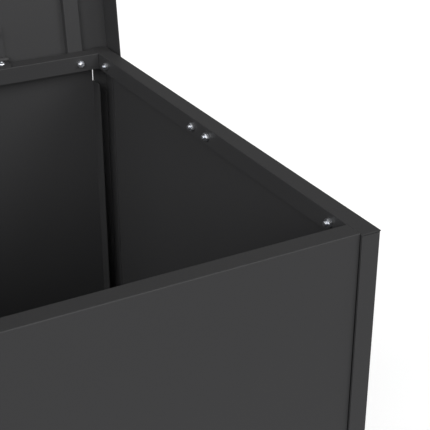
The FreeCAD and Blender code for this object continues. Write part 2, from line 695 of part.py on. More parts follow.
def lock_cam():
    """The flat cam, pointing up."""
    centre = FreeCAD.Vector(0, CAM_Y, LOCK_Z)
    half = CAM_WIDTH / 2
    arm = block((-half, half), (CAM_Y, CAM_Y + CAM), (LOCK_Z, LOCK_Z + CAM_REACH))
    arm = rounded(arm, CAM_CORNER, [{"x": s * half, "z": LOCK_Z + CAM_REACH} for s in (-1, 1)])
    boss = rod(half + CAM_BOSS, centre, Y_AXIS, CAM)
    return cut(join([arm, boss]), [rod(THREAD_R, centre, Y_AXIS, CAM)])


def cam_screw():
    """The screw that holds the cam to the plug."""
    seat = FreeCAD.Vector(0, CAM_Y + CAM, LOCK_Z)
    length = CAM + LOCK_DEPTH / 2 - 1
    shank = rod(THREAD_R, seat - Y_AXIS * length, Y_AXIS, length)
    head = rod(HEAD_R, seat, Y_AXIS, HEAD_HEIGHT)
    return join([shank, rounded(head, CAM_SCREW_EDGE, [{"y": seat.y + HEAD_HEIGHT}])])


def lock_guard():
    """A folded cover that keeps parcels off the lock, open at the top for the hook."""
    back = -FACE_Y + SHEET
    front = back + GUARD_DEPTH
    z = (RIM_TOP - GUARD_BOTTOM, RIM_TOP - GUARD_TOP)
    outer = block((-GUARD_LEFT, GUARD_RIGHT), (back, front), z)
    ears = block((-GUARD_LEFT - GUARD_EAR, GUARD_RIGHT + GUARD_EAR), (back, back + SHEET), z)
    opening = block((-GUARD_LEFT + SHEET, GUARD_RIGHT - SHEET), (back, front - SHEET), (z[0] + SHEET, z[1]))
    whole = join([outer, ears]).cut(opening)
    holes = [clearance_hole(point, Y_AXIS, SHEET) for point in guard_points()]
    return cut(whole, holes)


def guard_points():
    """Where the guard's studs leave the front skin."""
    z = RIM_TOP - (GUARD_TOP + GUARD_BOTTOM) / 2
    middle = GUARD_EAR / 2
    return [FreeCAD.Vector(x, -FACE_Y + SHEET, z) for x in (-GUARD_LEFT - middle, GUARD_RIGHT + middle)]


def opened(shape):
    """A lid piece swung from shut to open about the hinge axis."""
    turned = shape.copy()
    turned.rotate(FreeCAD.Vector(0, AXIS_Y, AXIS_Z), X_AXIS, -LID_OPEN)
    return turned


def save_body():
    """Everything that stands still, apart from the lock."""
    save("front_panel", front_panel())
    save("rear_panel", rear_panel())
    save_pair("side_panel", side_panel())
    post = corner_post()
    save_pair("corner_post_front", post)
    save_pair("corner_post_rear", mirrored([post], Y_AXIS)[0])
    save("post_head_brackets", all_corners([head_bracket()]))
    sides = [side_brace()]
    fronts = [front_brace()] + mirrored([front_brace()], X_AXIS)
    save("rim_braces", sides + mirrored(sides, X_AXIS) + fronts + mirrored(fronts, Y_AXIS))
    studs, nuts = rim_fasteners()
    save("rim_studs", studs)
    save("rim_nuts", nuts)


def save_base():
    """Floor, ribs, feet and their fasteners."""
    grip = 2 * SHEET + PLATE
    points = base_bolt_points()
    save("floor_pan", floor_pan())
    save("floor_ribs", [floor_rib(x) for x in (-RIB_PITCH, 0.0, RIB_PITCH)])
    save("feet", all_corners([foot()]))
    save("foot_plates", all_corners([foot_plate()]))
    save("base_bolts", all_corners([pan_bolt(point, Z_AXIS, grip) for point in points]))
    save("base_nuts", all_corners([nut(point + Z_AXIS * grip, Z_AXIS) for point in points]))


def save_hinges():
    """Both hinges, the stops and the fasteners of the fixed leaves."""
    down = Z_AXIS * -1
    seats = [point + Z_AXIS * LEAF for point in fixed_screw_points()]
    save_pair("hinge_fixed_leaf", hinge_fixed_leaf())
    save_pair("hinge_pin", hinge_pin())
    save("hinge_screws", [pan_bolt(point, down, LEAF + SHEET) for point in seats])
    save("hinge_screw_nuts", [nut(point - Z_AXIS * SHEET, down) for point in fixed_screw_points()])
    stop = rear_stop()
    save("rear_stops", [stop] + mirrored([stop], X_AXIS))


def save_lid():
    """The lid and all that swings with it."""
    down = Z_AXIS * -1
    save("lid_shell", opened(lid_shell()))
    for number, x in enumerate(stiffener_places(), start=1):
        save("lid_stiffener_" + str(number), opened(lid_stiffener(x)))
    save_pair("hinge_lid_leaf", opened(hinge_lid_leaf()))
    length = LEAF + NUT_HEIGHT + STUD_END
    save("lid_studs", [opened(thread(point, down, length)) for point in lid_stud_points()])
    save("lid_nuts", [opened(nut(point - Z_AXIS * LEAF, down)) for point in lid_stud_points()])
    buffer = lid_buffer()
    save("lid_buffers", [opened(item) for item in [buffer] + mirrored([buffer], X_AXIS)])
    save("lid_hook", opened(lid_hook()))


def save_lock():
    """The lock and its guard."""
    save("lock_barrel", lock_barrel())
    save("lock_nut", lock_nut())
    save("lock_plug", lock_plug())
    save("lock_cam", lock_cam())
    save("cam_screw", cam_screw())
    save("lock_guard", lock_guard())
    length = SHEET + NUT_HEIGHT + STUD_END
    save("guard_studs", [thread(point, Y_AXIS, length) for point in guard_points()])
    save("guard_nuts", [nut(point + Y_AXIS * SHEET, Y_AXIS) for point in guard_points()])


os.makedirs("parts", exist_ok=True)
save_body()
save_base()
save_hinges()
save_lid()
save_lock()
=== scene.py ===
"""Looks of a steel parcel drop box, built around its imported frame.

Every place comes from the frame's own boxes, in metres, +Z up and the front towards -Y.
"""

import json
import logging
import math
from dataclasses import dataclass, field, replace
from enum import Enum
from typing import Optional, Union

import bmesh
import bpy
from mathutils import Matrix, Vector


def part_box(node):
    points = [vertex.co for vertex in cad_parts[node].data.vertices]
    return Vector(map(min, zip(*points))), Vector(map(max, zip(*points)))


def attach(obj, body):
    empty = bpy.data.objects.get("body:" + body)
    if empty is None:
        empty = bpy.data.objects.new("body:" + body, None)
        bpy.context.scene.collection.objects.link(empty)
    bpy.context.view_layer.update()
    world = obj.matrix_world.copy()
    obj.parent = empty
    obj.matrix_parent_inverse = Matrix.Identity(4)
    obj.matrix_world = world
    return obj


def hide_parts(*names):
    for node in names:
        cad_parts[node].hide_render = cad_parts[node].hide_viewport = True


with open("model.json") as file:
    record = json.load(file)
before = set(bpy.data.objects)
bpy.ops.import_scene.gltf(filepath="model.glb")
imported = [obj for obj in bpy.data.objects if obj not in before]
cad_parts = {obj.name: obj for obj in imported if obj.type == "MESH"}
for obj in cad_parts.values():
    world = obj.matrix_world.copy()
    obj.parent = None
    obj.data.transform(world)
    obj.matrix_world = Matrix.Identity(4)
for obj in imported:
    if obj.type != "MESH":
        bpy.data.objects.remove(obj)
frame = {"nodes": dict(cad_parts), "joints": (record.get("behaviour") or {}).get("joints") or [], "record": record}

log = logging.getLogger("parcel_box")

MM = 0.001
WELD = 0.00001           # points this near are one, in metres
FRAME_WELD = WELD / 10   # the same for a frame node's loose triangles
BISECT = 0.000001        # a cut takes points this near as lying on it, in metres
PLACE_DIGITS = 4         # fasteners are put in order by their place to this many digits
COARSE, MEDIUM, FINE, FINEST = 24, 32, 48, 64   # facets round a turned piece
RIM_BAND = 10.0          # side studs lie this near to the widest point, in millimetres
WHITE = (1.0, 1.0, 1.0, 1.0)
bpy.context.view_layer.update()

Colour = tuple[float, float, float]
Point = tuple[float, float]
Socket = bpy.types.NodeSocket
Feed = Union[Socket, float]


class Body(Enum):
    """The moving bodies of the frame."""

    BOX = "box"
    LID = "lid"
    LOCK = "lock_cylinder"


class Slot(Enum):
    """The record's material slots."""

    POWDER = "powder_coat"
    ZINC = "zinc_steel"
    CHROME = "lock_chrome"
    RUBBER = "rubber"
    PLASTIC = "foot_plastic"


class Facing(Enum):
    """Which way a group of fasteners points, from its head to its tip."""

    INWARD = "to the middle of the box"
    BACK = "to the rear"
    UP = "up"
    DOWN = "down"
    LID = "out of the lid's inner side"


# Node groups shared by the finishes


def new_group(name: str, inputs: dict[str, float], outputs: dict[str, str]) -> bpy.types.NodeTree:
    """Starts a shader node group with named sockets.

    Args:
        name: The group's name.
        inputs: Float inputs and their defaults.
        outputs: Outputs and their socket types.

    Returns:
        The empty group, with its input and output nodes.
    """
    group = bpy.data.node_groups.new(name, "ShaderNodeTree")
    for label, value in inputs.items():
        socket = group.interface.new_socket(label, in_out="INPUT", socket_type="NodeSocketFloat")
        socket.default_value = value
    for label, kind in outputs.items():
        group.interface.new_socket(label, in_out="OUTPUT", socket_type=kind)
    group.nodes.new("NodeGroupInput")
    group.nodes.new("NodeGroupOutput")
    return group


def math_node(tree: bpy.types.NodeTree, operation: str, first: Feed, second: Feed) -> Socket:
    """Adds a maths node.

    Args:
        tree: The tree that gets the node.
        operation: Blender's name for the operation.
        first: A socket or a number.
        second: A socket or a number.

    Returns:
        The result socket.
    """
    node = tree.nodes.new("ShaderNodeMath")
    node.operation = operation
    for socket, value in zip(node.inputs, (first, second)):
        if isinstance(value, Socket):
            tree.links.new(value, socket)
        else:
            socket.default_value = value
    return node.outputs[0]


def noise_node(
    tree: bpy.types.NodeTree, scale: Feed, detail: float, place: Optional[Socket] = None,
) -> Socket:
    """Adds a noise texture on object coordinates.

    Args:
        tree: The tree that gets the node.
        scale: A socket or a number, in features per metre.
        detail: Octaves of finer noise.
        place: A vector socket, or nothing for the object's own coordinates.

    Returns:
        The noise value.
    """
    noise = tree.nodes.new("ShaderNodeTexNoise")
    noise.inputs["Detail"].default_value = detail
    if place is None:
        place = tree.nodes.new("ShaderNodeTexCoord").outputs["Object"]
    tree.links.new(place, noise.inputs["Vector"])
    if isinstance(scale, Socket):
        tree.links.new(scale, noise.inputs["Scale"])
    else:
        noise.inputs["Scale"].default_value = scale
    return noise.outputs["Fac"]


def grain_group() -> bpy.types.NodeTree:
    """Builds the fine surface grain: a height for bump and a slow patch mask.

    Returns:
        The group.
    """
    group = new_group(
        "surface_grain",
        {"Grain Scale": 900.0, "Patch Scale": 3.0},
        {"Height": "NodeSocketFloat", "Patch": "NodeSocketFloat"},
    )
    entry = group.nodes["Group Input"]
    leave = group.nodes["Group Output"]
    fine = noise_node(group, entry.outputs["Grain Scale"], 2.0)
    broad = noise_node(group, entry.outputs["Patch Scale"], 3.0)
    group.links.new(fine, leave.inputs["Height"])
    group.links.new(broad, leave.inputs["Patch"])
    return group


def dust_group(on_top: float = 0.35, fall: float = 1.5, speckle: float = 420.0) -> bpy.types.NodeTree:
    """Builds the dust that settles on upward faces and along the foot of the box.

    Args:
        on_top: Share of the dust that lies on level faces.
        fall: How fast the dust at the foot thins with height.
        speckle: How fine its speckle is, in features per metre.

    Returns:
        The group, whose Mask grows towards 1 where dust lies.
    """
    group = new_group(
        "settled_dust",
        {"Amount": 0.2, "Foot Height": 0.08},
        {"Mask": "NodeSocketFloat"},
    )
    entry = group.nodes["Group Input"]
    leave = group.nodes["Group Output"]
    place = group.nodes.new("ShaderNodeTexCoord").outputs["Object"]
    split = group.nodes.new("ShaderNodeSeparateXYZ")
    group.links.new(place, split.inputs[0])
    low = math_node(group, "DIVIDE", split.outputs["Z"], entry.outputs["Foot Height"])
    foot = math_node(group, "POWER", 2.0, math_node(group, "MULTIPLY", low, -fall))
    facing = group.nodes.new("ShaderNodeSeparateXYZ")
    group.links.new(group.nodes.new("ShaderNodeNewGeometry").outputs["Normal"], facing.inputs[0])
    flat = math_node(group, "MAXIMUM", facing.outputs["Z"], 0.0)
    total = math_node(group, "ADD", math_node(group, "MULTIPLY", flat, on_top), foot)
    broken = math_node(group, "MULTIPLY", total, noise_node(group, speckle, 4.0, place))
    mask = math_node(group, "MULTIPLY", broken, entry.outputs["Amount"])
    clamp = group.nodes.new("ShaderNodeClamp")
    group.links.new(mask, clamp.inputs["Value"])
    group.links.new(clamp.outputs[0], leave.inputs["Mask"])
    return group


@dataclass
class SurfaceGroups:
    """The node groups that several finishes share, built once."""

    grain: bpy.types.NodeTree = field(default_factory=grain_group)
    dust: bpy.types.NodeTree = field(default_factory=dust_group)

    def place(
        self, tree: bpy.types.NodeTree, group: bpy.types.NodeTree, values: dict[str, float],
    ) -> bpy.types.Node:
        """Puts a group into a material.

        Args:
            tree: The material's tree.
            group: The group to use.
            values: Its input values.

        Returns:
            The group's node.
        """
        node = tree.nodes.new("ShaderNodeGroup")
        node.node_tree = group
        for label, value in values.items():
            node.inputs[label].default_value = value
        return node


def start_material(name: str) -> tuple[bpy.types.Material, bpy.types.NodeTree, bpy.types.Node]:
    """Starts a material with one Principled shader.

    Args:
        name: The material's name.

    Returns:
        The material, its tree and its shader.
    """
    material = bpy.data.materials.new(name)
    material.use_nodes = True
    tree = material.node_tree
    return material, tree, tree.nodes["Principled BSDF"]


def mix_colours(
    tree: bpy.types.NodeTree, factor: Socket, first: Union[Socket, Colour], second: Colour,
) -> Socket:
    """Blends two colours by a mask.

    Args:
        tree: The material's tree.
        factor: The mask's socket.
        first: The colour or colour socket where the mask is 0.
        second: The colour where it is 1.

    Returns:
        The blended colour.
    """
    node = tree.nodes.new("ShaderNodeMix")
    node.data_type = "RGBA"
    tree.links.new(factor, node.inputs["Factor"])
    if isinstance(first, Socket):
        tree.links.new(first, node.inputs["A"])
    else:
        node.inputs["A"].default_value = (*first, 1.0)
    node.inputs["B"].default_value = (*second, 1.0)
    return node.outputs["Result"]


def remap(tree: bpy.types.NodeTree, value: Socket, low: float, high: float) -> Socket:
    """Maps a mask from 0..1 to a range.

    Args:
        tree: The material's tree.
        value: The mask's socket.
        low: The result at 0.
        high: The result at 1.

    Returns:
        The mapped value.
    """
    node = tree.nodes.new("ShaderNodeMapRange")
    tree.links.new(value, node.inputs["Value"])
    node.inputs["To Min"].default_value = low
    node.inputs["To Max"].default_value = high
    return node.outputs["Result"]


def add_bump(
    tree: bpy.types.NodeTree, shader: bpy.types.Node, height: Socket, depth: float, strength: float,
) -> None:
    """Links a height to the shader's normal.

    Args:
        tree: The material's tree.
        shader: The Principled shader.
        height: The height's socket.
        depth: How far the height's full range stands, in metres.
        strength: Blender's bump strength.
    """
    bump = tree.nodes.new("ShaderNodeBump")
    bump.inputs["Strength"].default_value = strength
    bump.inputs["Distance"].default_value = depth
    tree.links.new(height, bump.inputs["Height"])
    tree.links.new(bump.outputs["Normal"], shader.inputs["Normal"])


@dataclass(frozen=True)
class Grained:
    """A finish with fine grain, and patches of two colours and two roughnesses."""

    name: str
    colour: Colour
    patch: Colour
    roughness: tuple[float, float]
    grain_scale: float
    patch_scale: float
    grain_depth: float
    bump: float

    def coat(
        self, tree: bpy.types.NodeTree, shader: bpy.types.Node, groups: SurfaceGroups, base: Socket,
    ) -> Socket:
        """Returns the base colour, which a finish with more on top of it changes."""
        return base

    def build(self, groups: SurfaceGroups) -> bpy.types.Material:
        """Makes the material.

        Args:
            groups: The shared node groups.

        Returns:
            The material.
        """
        material, tree, shader = start_material(self.name)
        scales = {"Grain Scale": self.grain_scale, "Patch Scale": self.patch_scale}
        grain = groups.place(tree, groups.grain, scales)
        patch = grain.outputs["Patch"]
        base = mix_colours(tree, patch, self.colour, self.patch)
        tree.links.new(self.coat(tree, shader, groups, base), shader.inputs["Base Color"])
        tree.links.new(remap(tree, patch, *self.roughness), shader.inputs["Roughness"])
        add_bump(tree, shader, grain.outputs["Height"], self.grain_depth, self.bump)
        return material


@dataclass(frozen=True)
class PowderCoat(Grained):
    """Matte powder coat on sheet steel, with a little dust."""

    name: str = "anthracite_powder"
    colour: Colour = (0.0275, 0.0275, 0.0285)
    patch: Colour = (0.032, 0.032, 0.033)
    roughness: tuple[float, float] = (0.52, 0.6)
    grain_scale: float = 1100.0
    patch_scale: float = 2.5
    grain_depth: float = 0.00006
    bump: float = 0.6
    specular: float = 0.28
    dust_colour: Colour = (0.16, 0.155, 0.15)
    dust: float = 0.25
    dust_height: float = 0.08

    def coat(
        self, tree: bpy.types.NodeTree, shader: bpy.types.Node, groups: SurfaceGroups, base: Socket,
    ) -> Socket:
        """Sets the gloss and lays dust over the base colour.

        Args:
            tree: The material's tree.
            shader: The Principled shader.
            groups: The shared node groups.
            base: The base colour.

        Returns:
            The dusty colour.
        """
        shader.inputs["Specular IOR Level"].default_value = self.specular
        dust = groups.place(tree, groups.dust, {"Amount": self.dust, "Foot Height": self.dust_height})
        return mix_colours(tree, dust.outputs["Mask"], base, self.dust_colour)


@dataclass(frozen=True)
class Plated(Grained):
    """Bright plating on steel hardware."""

    name: str = "bright_zinc"
    colour: Colour = (0.82, 0.84, 0.88)
    patch: Colour = (0.66, 0.68, 0.72)
    roughness: tuple[float, float] = (0.3, 0.44)
    grain_scale: float = 700.0
    patch_scale: float = 160.0
    grain_depth: float = 0.00002
    bump: float = 0.4

    def coat(
        self, tree: bpy.types.NodeTree, shader: bpy.types.Node, groups: SurfaceGroups, base: Socket,
    ) -> Socket:
        """Makes the shader a metal and keeps the base colour."""
        shader.inputs["Metallic"].default_value = 1.0
        return base


@dataclass(frozen=True)
class Moulded(Grained):
    """Black moulded rubber or plastic."""

    patch_scale: float = 60.0
    grain_depth: float = 0.00012
    bump: float = 0.7


@dataclass
class Finishes:
    """Every finish of the box, one material for each slot."""

    groups: SurfaceGroups = field(default_factory=SurfaceGroups)
    materials: dict[Slot, bpy.types.Material] = field(default_factory=dict)

    def __post_init__(self) -> None:
        """Builds the materials."""
        recipes = {
            Slot.POWDER: PowderCoat(),
            Slot.ZINC: Plated(),
            Slot.CHROME: Plated(
                "satin_chrome", (0.68, 0.68, 0.69), (0.6, 0.6, 0.62), (0.16, 0.26), 1400.0,
            ),
            Slot.RUBBER: Moulded(
                "black_rubber", (0.016, 0.016, 0.016), (0.026, 0.026, 0.026), (0.62, 0.78), 500.0,
            ),
            Slot.PLASTIC: Moulded(
                "black_plastic", (0.022, 0.022, 0.023), (0.03, 0.03, 0.031), (0.4, 0.52), 900.0,
            ),
        }
        for slot, recipe in recipes.items():
            self.materials[slot] = recipe.build(self.groups)

    def dress(self, piece: bpy.types.Object, slot: Slot) -> None:
        """Gives a piece or a CAD node one finish.

        Args:
            piece: The object to dress.
            slot: The finish.
        """
        piece.data.materials.clear()
        piece.data.materials.append(self.materials[slot])

    def dress_frame(self) -> None:
        """Gives every CAD node the finish of its record slot."""
        for part in frame["record"]["subparts"]:
            self.dress(frame["nodes"][part["node"]], Slot(part["material_slot"]))


# Modelling steps


def deselect() -> None:
    """Clears the selection."""
    bpy.ops.object.select_all(action="DESELECT")


def settle(name: str) -> bpy.types.Object:
    """Names the active object and moves its place into its mesh.

    Args:
        name: The piece's name.

    Returns:
        The piece.
    """
    piece = bpy.context.object
    piece.name = name
    piece.data.name = name
    bpy.ops.object.transform_apply(location=True, rotation=True, scale=True)
    return piece


def finish_modifier(piece: bpy.types.Object, modifier: bpy.types.Modifier) -> None:
    """Applies a modifier to a piece.

    Args:
        piece: The piece that has it.
        modifier: The modifier.
    """
    bpy.context.view_layer.objects.active = piece
    bpy.ops.object.modifier_apply(modifier=modifier.name)


def draw_profile(name: str, points: list[Point]) -> bpy.types.Object:
    """Draws a line in the XZ plane by extruding one vertex, and stays in edit mode.

    Args:
        name: The piece's name.
        points: Radius and height of each point, in millimetres.

    Returns:
        The piece.
    """
    deselect()
    radius, height = points[0]
    bpy.ops.mesh.primitive_plane_add(size=MM, location=(radius * MM, 0, height * MM))
    line = settle(name)
    bpy.ops.object.mode_set(mode="EDIT")
    bpy.ops.mesh.select_mode(type="VERT")
    bpy.ops.mesh.select_all(action="SELECT")
    bpy.ops.mesh.merge(type="CENTER")
    for (x0, z0), (x1, z1) in zip(points, points[1:]):
        step = ((x1 - x0) * MM, 0, (z1 - z0) * MM)
        bpy.ops.mesh.extrude_region_move(TRANSFORM_OT_translate={"value": step})
    return line


def close_up() -> None:
    """Merges doubles and turns every face outwards, in edit mode."""
    bpy.ops.mesh.select_all(action="SELECT")
    bpy.ops.mesh.remove_doubles(threshold=WELD)
    bpy.ops.mesh.normals_make_consistent(inside=False)


def lathe(name: str, points: list[Point], steps: int = MEDIUM) -> bpy.types.Object:
    """Turns a profile round the Z axis.

    Args:
        name: The piece's name.
        points: Radius and height of each point of the profile, in millimetres.
        steps: Facets round the axis.

    Returns:
        The piece.
    """
    piece = draw_profile(name, points)
    bpy.ops.mesh.select_all(action="SELECT")
    bpy.ops.mesh.spin(steps=steps, angle=math.tau, center=(0, 0, 0), axis=(0, 0, 1))
    close_up()
    bpy.ops.object.mode_set(mode="OBJECT")
    return piece


def prism(name: str, sides: int, radius: float, low: float, high: float) -> bpy.types.Object:
    """Adds an upright prism.

    Args:
        name: The piece's name.
        sides: Number of sides.
        radius: Corner radius in millimetres.
        low: Height of its foot in millimetres.
        high: Height of its top in millimetres.

    Returns:
        The piece.
    """
    deselect()
    middle = (0, 0, (low + high) / 2 * MM)
    depth = (high - low) * MM
    bpy.ops.mesh.primitive_cylinder_add(vertices=sides, radius=radius * MM, depth=depth, location=middle)
    return settle(name)


def combine(piece: bpy.types.Object, tool: bpy.types.Object, operation: str) -> None:
    """Cuts, joins or intersects a piece with a tool, and removes the tool.

    Args:
        piece: The piece that changes.
        tool: The other solid.
        operation: DIFFERENCE, UNION or INTERSECT.
    """
    boolean = piece.modifiers.new("shape", "BOOLEAN")
    boolean.operation = operation
    boolean.solver = "EXACT"
    boolean.object = tool
    finish_modifier(piece, boolean)
    bpy.data.objects.remove(tool)


def soften(piece: bpy.types.Object, width: float, angle: float = 30.0) -> None:
    """Breaks a piece's sharp edges and shades it.

    Args:
        piece: The piece.
        width: Width of the broken edge in millimetres.
        angle: Sharpest angle between faces that stays smooth, in degrees.
    """
    bevel = piece.modifiers.new("edge", "BEVEL")
    bevel.width = width * MM
    bevel.segments = 2
    bevel.limit_method = "ANGLE"
    bevel.angle_limit = math.radians(angle)
    bevel.harden_normals = False
    finish_modifier(piece, bevel)
    shade(piece, angle)


def shade(piece: bpy.types.Object, angle: float = 30.0) -> None:
    """Shades a piece smooth up to an angle.

    Args:
        piece: The piece.
        angle: The angle in degrees.
    """
    deselect()
    piece.select_set(True)
    bpy.context.view_layer.objects.active = piece
    bpy.ops.object.shade_smooth_by_angle(angle=math.radians(angle))


def weld_parts(parts: list[bpy.types.Object], name: str) -> bpy.types.Object:
    """Joins parts into one piece.

    Args:
        parts: The parts.
        name: The piece's name.

    Returns:
        The piece.
    """
    deselect()
    for part in parts:
        part.select_set(True)
    bpy.context.view_layer.objects.active = parts[0]
    bpy.ops.object.join()
    piece = bpy.context.object
    piece.name = name
    piece.data.name = name
    return piece


# Places taken from the frame


@dataclass(frozen=True)
class Seat:
    """Where one fastener sits: its foot, its turn and its length."""

    place: Matrix
    length: float


def loose_parts(node: str) -> list[list[Vector]]:
    """Splits a node into the points of its separate solids.

    Args:
        node: The node's name.

    Returns:
        One list of points for each solid.
    """
    mesh = bmesh.new()
    mesh.from_mesh(frame["nodes"][node].data)
    bmesh.ops.remove_doubles(mesh, verts=mesh.verts, dist=FRAME_WELD)
    waiting = set(mesh.verts)
    parts = []
    for first in mesh.verts:
        if first not in waiting:
            continue
        waiting.remove(first)
        reached = [first]
        for vertex in reached:
            for edge in vertex.link_edges:
                other = edge.other_vert(vertex)
                if other in waiting:
                    waiting.remove(other)
                    reached.append(other)
        parts.append([vertex.co.copy() for vertex in reached])
    mesh.free()
    return parts


def lid_normal() -> Vector:
    """The way the lid's inner side faces at rest, from the hinge's travel.

    Returns:
        A unit vector.
    """
    hinge = next(joint for joint in frame["joints"] if joint["child"] == Body.LID.value)
    swing = math.radians(hinge["range_deg"][1])
    return Vector((0, -math.sin(swing), -math.cos(swing)))


def aim(facing: Facing, middle: Vector, reach: float) -> Vector:
    """Finds the way that one fastener points.

    Args:
        facing: How its group points.
        middle: The fastener's middle.
        reach: The greatest X of its group.

    Returns:
        A unit vector.
    """
    if facing is Facing.INWARD:
        if abs(middle.x) > reach - RIM_BAND * MM:
            return Vector((-math.copysign(1, middle.x), 0, 0))
        return Vector((0, -math.copysign(1, middle.y), 0))
    fixed = {
        Facing.BACK: Vector((0, 1, 0)),
        Facing.UP: Vector((0, 0, 1)),
        Facing.DOWN: Vector((0, 0, -1)),
    }
    return fixed[facing] if facing in fixed else lid_normal()


def seats(node: str, facing: Facing) -> list[Seat]:
    """Finds where every fastener of a node sits.

    Args:
        node: The node's name.
        facing: How its fasteners point.

    Returns:
        The seats, in a fixed order.
    """
    reach = max(abs(corner.x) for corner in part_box(node))
    found = []
    for points in loose_parts(node):
        middle = sum(points, Vector()) / len(points)
        turn = aim(facing, middle, reach).to_track_quat("Z", "Y").to_matrix()
        local = [turn.transposed() @ point for point in points]
        low = Vector([min(point[axis] for point in local) for axis in range(3)])
        high = Vector([max(point[axis] for point in local) for axis in range(3)])
        foot = turn @ Vector(((low.x + high.x) / 2, (low.y + high.y) / 2, low.z))
        found.append(Seat(Matrix.Translation(foot) @ turn.to_4x4(), high.z - low.z))
    order = [tuple(round(value, PLACE_DIGITS) for value in seat.place.translation) for seat in found]
    return [seat for _, seat in sorted(zip(order, found), key=lambda pair: pair[0])]


def hand_over(piece: bpy.types.Object, body: Body, slot: Slot, node: str, finishes: Finishes) -> None:
    """Gives a finished piece its body, its finish and the node it stands for.

    Args:
        piece: The piece.
        body: The body that it rides on.
        slot: Its finish.
        node: The node that it replaces.
        finishes: The finishes.
    """
    finishes.dress(piece, slot)
    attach(piece, body.value)
    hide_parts(node)


# Fasteners


@dataclass(frozen=True)
class HexNut:
    """A chamfered hexagonal nut with a bore that opens at both ends, in millimetres."""

    flats: float = 8.0
    height: float = 4.0
    bore: float = 2.1        # radius
    chamfer: float = 0.5
    lead: float = 0.35       # how far the bore opens at its mouths
    past: float = 0.1        # how far a cutter stands past the nut
    edge: float = 0.12
    smooth: float = 25.0     # in degrees

    def model(self, name: str) -> bpy.types.Object:
        """Models the nut on the origin, along +Z.

        Args:
            name: The piece's name.

        Returns:
            The nut.
        """
        corner = self.flats / math.sqrt(3)
        body = prism(name, 6, corner, 0, self.height)
        blank = prism("blank", FINE, corner, 0, self.height)
        bpy.ops.object.mode_set(mode="EDIT")
        bpy.ops.mesh.select_mode(type="EDGE")
        bpy.ops.mesh.select_all(action="DESELECT")
        bpy.ops.object.mode_set(mode="OBJECT")
        for edge in blank.data.edges:
            heights = [blank.data.vertices[index].co.z for index in edge.vertices]
            edge.select = abs(heights[0] - heights[1]) < WELD
        bpy.ops.object.mode_set(mode="EDIT")
        bpy.ops.mesh.bevel(offset=self.chamfer * MM, segments=1)
        bpy.ops.object.mode_set(mode="OBJECT")
        combine(body, blank, "INTERSECT")
        mouth = self.bore + self.lead
        top = self.height + self.past
        bore = lathe("bore", [
            (0, -self.past), (mouth, -self.past), (self.bore, self.lead),
            (self.bore, self.height - self.lead), (mouth, top), (0, top),
        ], COARSE)
        combine(body, bore, "DIFFERENCE")
        soften(body, self.edge, self.smooth)
        return body


@dataclass(frozen=True)
class Thread:
    """A screw thread cut to a length, in millimetres."""

    radius: float = 2.5
    pitch: float = 0.8
    depth: float = 0.42
    crest: float = 0.15      # half the crest's width as a share of the pitch
    point: float = 1.2       # length of the tapered end
    taper: float = 0.2       # how far the taper goes below the root
    past: float = 0.25       # how far the tapering cutter stands past the end
    clear: float = 1.0       # how far it stands clear elsewhere
    spare: int = 3           # turns past the length, which are cut off
    steps: int = 18

    def model(self, name: str, low: float, high: float) -> bpy.types.Object:
        """Models the thread along +Z with closed flat ends.

        Args:
            name: The piece's name.
            low: Height of its lower end in millimetres.
            high: Height of its upper end in millimetres.

        Returns:
            The thread.
        """
        root = self.radius - self.depth
        crest = self.pitch * self.crest
        middle = -self.pitch / 2
        piece = draw_profile(name, [
            (root, -self.pitch), (self.radius, middle - crest),
            (self.radius, middle + crest), (root, 0),
        ])
        bpy.ops.object.mode_set(mode="OBJECT")
        helix = piece.modifiers.new("helix", "SCREW")
        helix.screw_offset = self.pitch * MM
        helix.iterations = math.ceil((high - low) / self.pitch) + self.spare
        helix.steps = self.steps
        helix.render_steps = self.steps
        finish_modifier(piece, helix)
        piece.data.transform(Matrix.Translation((0, 0, (low - self.pitch) * MM)))
        bpy.ops.object.mode_set(mode="EDIT")
        bpy.ops.mesh.select_all(action="SELECT")
        bpy.ops.mesh.remove_doubles(threshold=WELD)
        for cut, side in ((low, "clear_inner"), (high, "clear_outer")):
            bpy.ops.mesh.select_all(action="SELECT")
            bpy.ops.mesh.bisect(
                plane_co=(0, 0, cut * MM), plane_no=(0, 0, 1), use_fill=True,
                threshold=BISECT, **{side: True},
            )
        close_up()
        bpy.ops.object.mode_set(mode="OBJECT")
        foot, wide = low - self.clear, self.radius + self.clear
        tip = lathe("tip", [
            (0, foot), (wide, foot), (wide, high - self.point),
            (root - self.taper, high + self.past), (0, high + self.past),
        ], COARSE)
        combine(piece, tip, "INTERSECT")
        return piece


